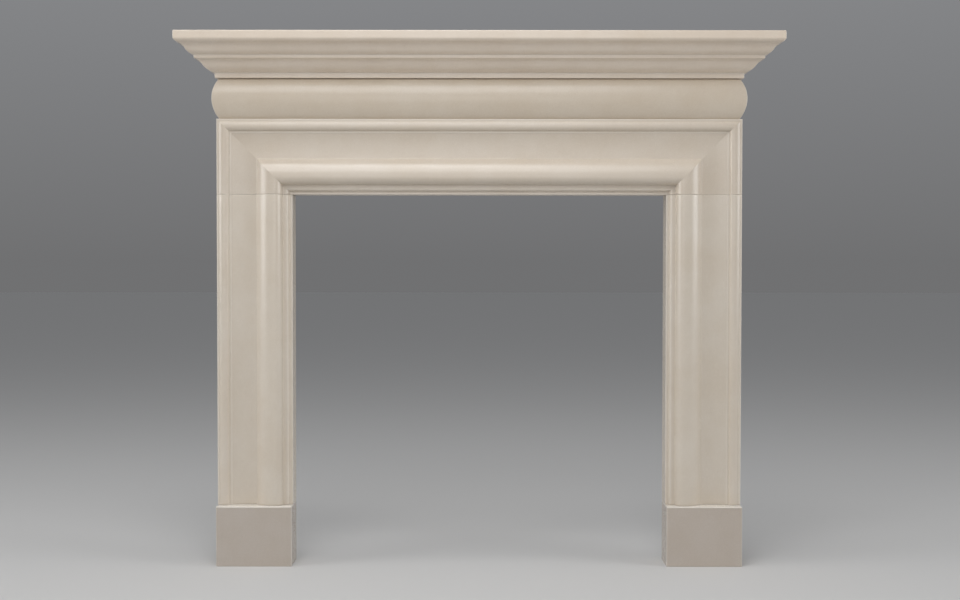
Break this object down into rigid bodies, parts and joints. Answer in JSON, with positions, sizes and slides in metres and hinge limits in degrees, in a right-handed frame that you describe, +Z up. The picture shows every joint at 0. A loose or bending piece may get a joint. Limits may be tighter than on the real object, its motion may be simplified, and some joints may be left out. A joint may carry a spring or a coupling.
{
  "type": "stone fireplace surround",
  "caption": "Cream stone fireplace surround with a moulded mantelshelf, cushion frieze, mitred bolection moulding round the opening and plain plinth blocks.",
  "frame": {"origin": "on the floor, midway between the two plinths and midway between the wall plane and the front edge of the mantelshelf", "axes": "+X to the right seen from the room, -Y out of the wall into the room, +Z up; the back is the plane y = 0.07875"},
  "size_m": [1.457, 0.1574, 1.293],
  "materials": {
    "cream_stone": "honed cream stone without veins, a soft sheen, fine grain"
  },
  "bodies": {
    "root": {"mantelshelf": "cream_stone", "frieze": "cream_stone", "lintel": "cream_stone", "leg_left": "cream_stone", "leg_right": "cream_stone", "plinth_left": "cream_stone", "plinth_right": "cream_stone"}
  },
  "joints": []
}
